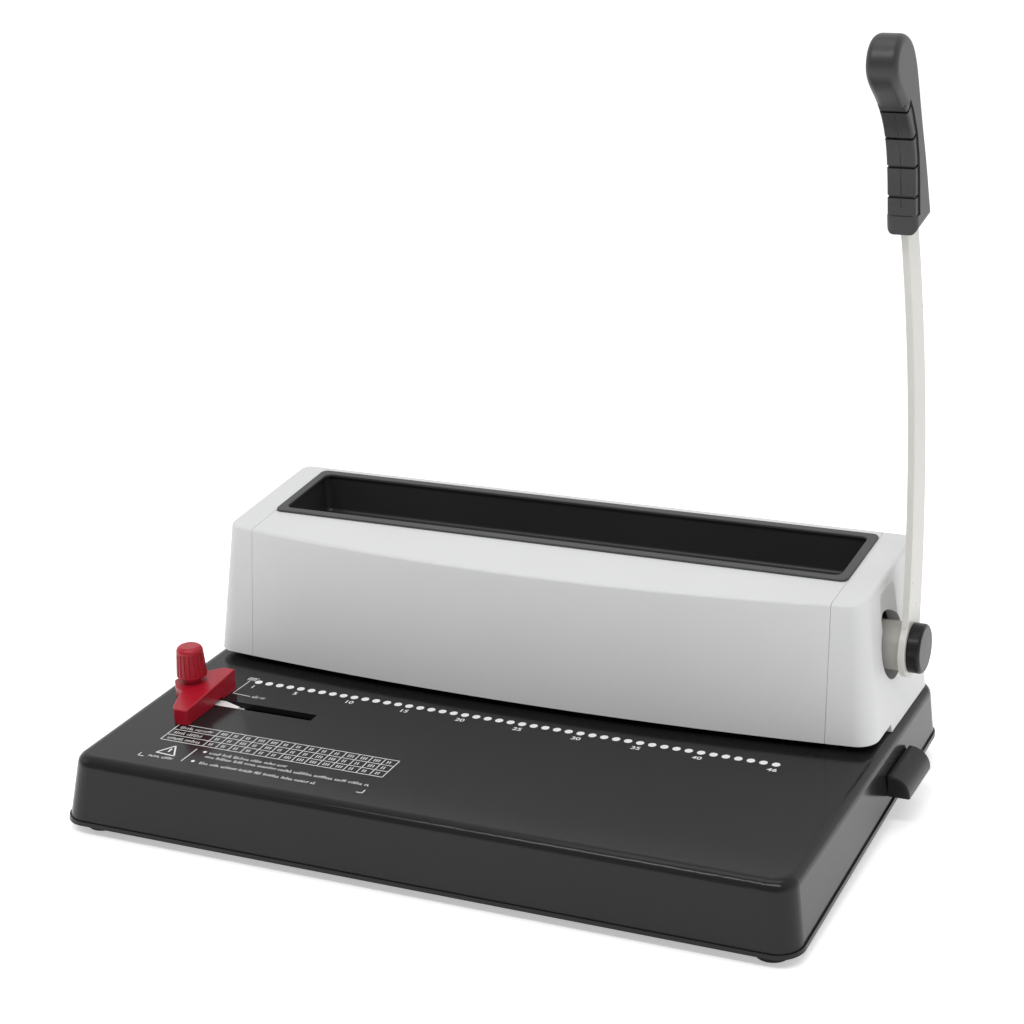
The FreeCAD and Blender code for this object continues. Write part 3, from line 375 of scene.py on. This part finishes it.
def words(lines, x0, y, x1, height):
    """Word-like blocks of upright strokes between two places, standing for a line of text."""
    x = x0
    while x < x1 - 1.0:
        letters = random.randint(3, 8)
        for _ in range(letters):
            if x > x1:
                break
            tall = height * random.choice((0.62, 0.62, 0.95))
            px, py = label_point(x, y)
            lines.stroke(px, py - height / 2 * MM, px, py + (tall - height / 2) * MM, LETTER_W * MM)
            if random.random() < 0.6:
                bar = py + random.choice((-0.45, 0.1)) * height * MM
                lines.stroke(px, bar, px + 0.8 * MM, bar, 0.34 * MM)
            x += LETTER_STEP
        x += WORD_GAP


def figure(lines, x, y):
    """A short stroke with a bar, where the table has a digit."""
    px, py = label_point(x, y)
    lines.stroke(px, py - FIGURE_H * MM, px, py + FIGURE_H * MM, 0.5 * MM)
    bar = py + random.choice((-1.1, 0.0, 1.1)) * MM
    lines.stroke(px - 0.4 * MM, bar, px + 0.4 * MM, bar, 0.4 * MM)


def size_table():
    """Ruled table of coil sizes; its cells hold short strokes, not figures."""
    lines = Ink()
    left, right, bottom, top = -155.5, -29.9, -75.6, -57.5
    head = -131.0           # right edge of the first, wide column
    columns, rows = 14, 3
    step = (right - head) / columns
    high = (top - bottom) / rows
    for i in range(rows + 1):
        y = bottom + (top - bottom) * i / rows
        lines.stroke(*label_point(left, y), *label_point(right, y), RULE * MM)
    for x in [left] + [head + (right - head) * i / columns for i in range(columns + 1)]:
        lines.stroke(*label_point(x, bottom), *label_point(x, top), RULE * MM)
    for row in range(rows):
        y = bottom + high * (row + 0.5)
        words(lines, left + 3.0, y, head - 3.0, 2.6)
        for column in range(columns):
            x = head + step * (column + 0.5)
            for k in range(random.choice((2, 3))):
                figure(lines, x - FIGURE_STEP + FIGURE_STEP * k, y)
    return lines.piece("size_table")


def notes_block():
    """Triangle sign, dividing line, two bullets with lines of strokes, and two corner marks."""
    lines = Ink()
    sign = [(-149.4, -89.2), (-143.6, -80.1), (-138.4, -90.0)]
    for i in range(3):
        lines.stroke(*label_point(*sign[i]), *label_point(*sign[(i + 1) % 3]), 0.8 * MM)
    lines.stroke(*label_point(-143.7, -87.0), *label_point(-143.7, -83.4), 0.9 * MM)
    lines.stroke(*label_point(-132.0, -93.6), *label_point(-131.7, -79.4), EDGE * MM)
    for bullet in ((-126.1, -81.0), (-126.4, -91.6)):
        lines.disc(*label_point(*bullet), 1.0 * MM, 14)
    words(lines, -150.6, -93.0, -137.6, 2.4)
    for x0, y, x1 in ((-122.8, -81.0, -79.4), (-122.8, -85.0, -32.4), (-121.9, -92.0, -57.6)):
        words(lines, x0, y, x1, 2.6)
    for x, y, side in ((-156.1, -95.1, 1), (-31.2, -93.4, -1)):
        lines.stroke(*label_point(x, y), *label_point(x + side * 3.2, y), EDGE * MM)
        lines.stroke(*label_point(x, y - 0.2), *label_point(x, y + 3.2), EDGE * MM)
    return lines.piece("notes_block")


# ---------------------------------------------------------------- studio
ROOM_FRONT = 0.30       # light of the room on the camera's side
ROOM_BACK = 1.05        # and behind the machine
ROOM_OVERHEAD = 0.72    # share of it that is left overhead
BACKDROP = 1.05         # the white that the camera sees behind the object
FLOOR_GLOW = 0.42       # keeps the paper near white in the object's shadow
FLOOR_HALF = 6.0
WHITE = (1.0, 1.0, 1.0, 1.0)

# name, place, width and height in metres, power in watts
SOFTBOXES = (
    ("top_box", (0.0, 0.1, 1.9), 1.4, 0.9, 6.0),
    ("edge_strip", (0.1, -0.9, 1.5), 1.9, 0.20, 14.0),
    ("left_box", (-1.6, -0.5, 1.1), 0.8, 1.0, 1.5),
)


def paper_floor():
    """A large sheet of white paper under the object."""
    mesh = bpy.data.meshes.new("floor")
    h = FLOOR_HALF
    mesh.from_pydata([(-h, -h, 0), (h, -h, 0), (h, h, 0), (-h, h, 0)], [], [(0, 1, 2, 3)])
    floor = bpy.data.objects.new("floor", mesh)
    bpy.context.scene.collection.objects.link(floor)
    paint = Finish("floor_paper", (0.93, 0.93, 0.93), 0.9, specular=0.1)
    paint.shader.inputs["Emission Color"].default_value = WHITE
    paint.shader.inputs["Emission Strength"].default_value = FLOOR_GLOW
    paint.mottle(0.004, 3.0)
    paint.bumps((paint.noise(900.0), 0.02 * MM, 0.1))
    mesh.materials.append(paint.material)


def ramp(tree, value, low, high, out_low, out_high):
    """World node that moves a value from one range to another."""
    node = tree.nodes.new("ShaderNodeMapRange")
    node.inputs["From Min"].default_value = low
    node.inputs["From Max"].default_value = high
    node.inputs["To Min"].default_value = out_low
    node.inputs["To Max"].default_value = out_high
    tree.links.new(value, node.inputs["Value"])
    return node


def room():
    """White room, dimmer on the camera's side and overhead, with a white backdrop for the camera."""
    world = bpy.data.worlds.new("studio")
    world.use_nodes = True
    bpy.context.scene.world = world
    tree = world.node_tree
    sky = tree.nodes["Background"]
    sky.inputs["Color"].default_value = WHITE
    apart = tree.nodes.new("ShaderNodeSeparateXYZ")
    direction = tree.nodes.new("ShaderNodeTexCoord").outputs["Generated"]
    tree.links.new(direction, apart.inputs["Vector"])
    front_to_back = ramp(tree, apart.outputs["Y"], -0.9, 0.3, ROOM_FRONT, ROOM_BACK)
    front_to_back.interpolation_type = "SMOOTHSTEP"
    overhead = ramp(tree, apart.outputs["Z"], 0.1, 0.9, 1.0, ROOM_OVERHEAD)
    both = tree.nodes.new("ShaderNodeMath")
    both.operation = "MULTIPLY"
    tree.links.new(front_to_back.outputs["Result"], both.inputs[0])
    tree.links.new(overhead.outputs["Result"], both.inputs[1])
    tree.links.new(both.outputs["Value"], sky.inputs["Strength"])

    backdrop = tree.nodes.new("ShaderNodeBackground")
    backdrop.inputs["Color"].default_value = WHITE
    backdrop.inputs["Strength"].default_value = BACKDROP
    seen = tree.nodes.new("ShaderNodeLightPath").outputs["Is Camera Ray"]
    mix = tree.nodes.new("ShaderNodeMixShader")
    tree.links.new(seen, mix.inputs["Fac"])
    tree.links.new(sky.outputs["Background"], mix.inputs[1])
    tree.links.new(backdrop.outputs["Background"], mix.inputs[2])
    tree.links.new(mix.outputs["Shader"], tree.nodes["World Output"].inputs["Surface"])


def softbox(name, place, width, height, power):
    """Rectangular area light that points at the object's middle."""
    light = bpy.data.lights.new(name, "AREA")
    light.shape = "RECTANGLE"
    light.size = width
    light.size_y = height
    light.energy = power
    obj = bpy.data.objects.new(name, light)
    obj.location = place
    aim = (cad_low + cad_high) / 2 - Vector(place)
    obj.rotation_mode = "QUATERNION"
    obj.rotation_quaternion = aim.to_track_quat("-Z", "Y")
    bpy.context.scene.collection.objects.link(obj)


# ---------------------------------------------------------------- camera
LENS = 85.67            # focal length in millimetres on a sensor 36 mm wide
SENSOR = 36.0
CAMERA_AZIMUTH = math.radians(26.24)
CAMERA_ELEVATION = math.radians(20.51)
CAMERA_ROLL = math.radians(-2.97)
CAMERA_FROM_MIDDLE = Vector((0.49556, -0.98629, 0.52441))


def camera():
    """Camera to the right of the front, looking down, with a slight roll."""
    data = bpy.data.cameras.new("camera")
    data.sensor_width = SENSOR
    data.lens = LENS
    data.clip_start = 0.05
    data.clip_end = 30.0
    back = Vector((math.sin(CAMERA_AZIMUTH) * math.cos(CAMERA_ELEVATION),
                   -math.cos(CAMERA_AZIMUTH) * math.cos(CAMERA_ELEVATION),
                   math.sin(CAMERA_ELEVATION)))
    right = Vector((0, 0, 1)).cross(back).normalized()
    up = back.cross(right)
    turn = Matrix.Rotation(CAMERA_ROLL, 3, "Z")
    axes = Matrix((right, up, back)).transposed() @ turn
    obj = bpy.data.objects.new("camera", data)
    obj.matrix_world = Matrix.Translation(MIDDLE + CAMERA_FROM_MIDDLE) @ axes.to_4x4()
    bpy.context.scene.collection.objects.link(obj)
    bpy.context.scene.camera = obj


dress_frame()
row_marks()
row_numbers()
size_bracket()
size_table()
notes_block()
paper_floor()
room()
for box in SOFTBOXES:
    softbox(*box)
camera()
bpy.context.scene.view_settings.view_transform = "Standard"
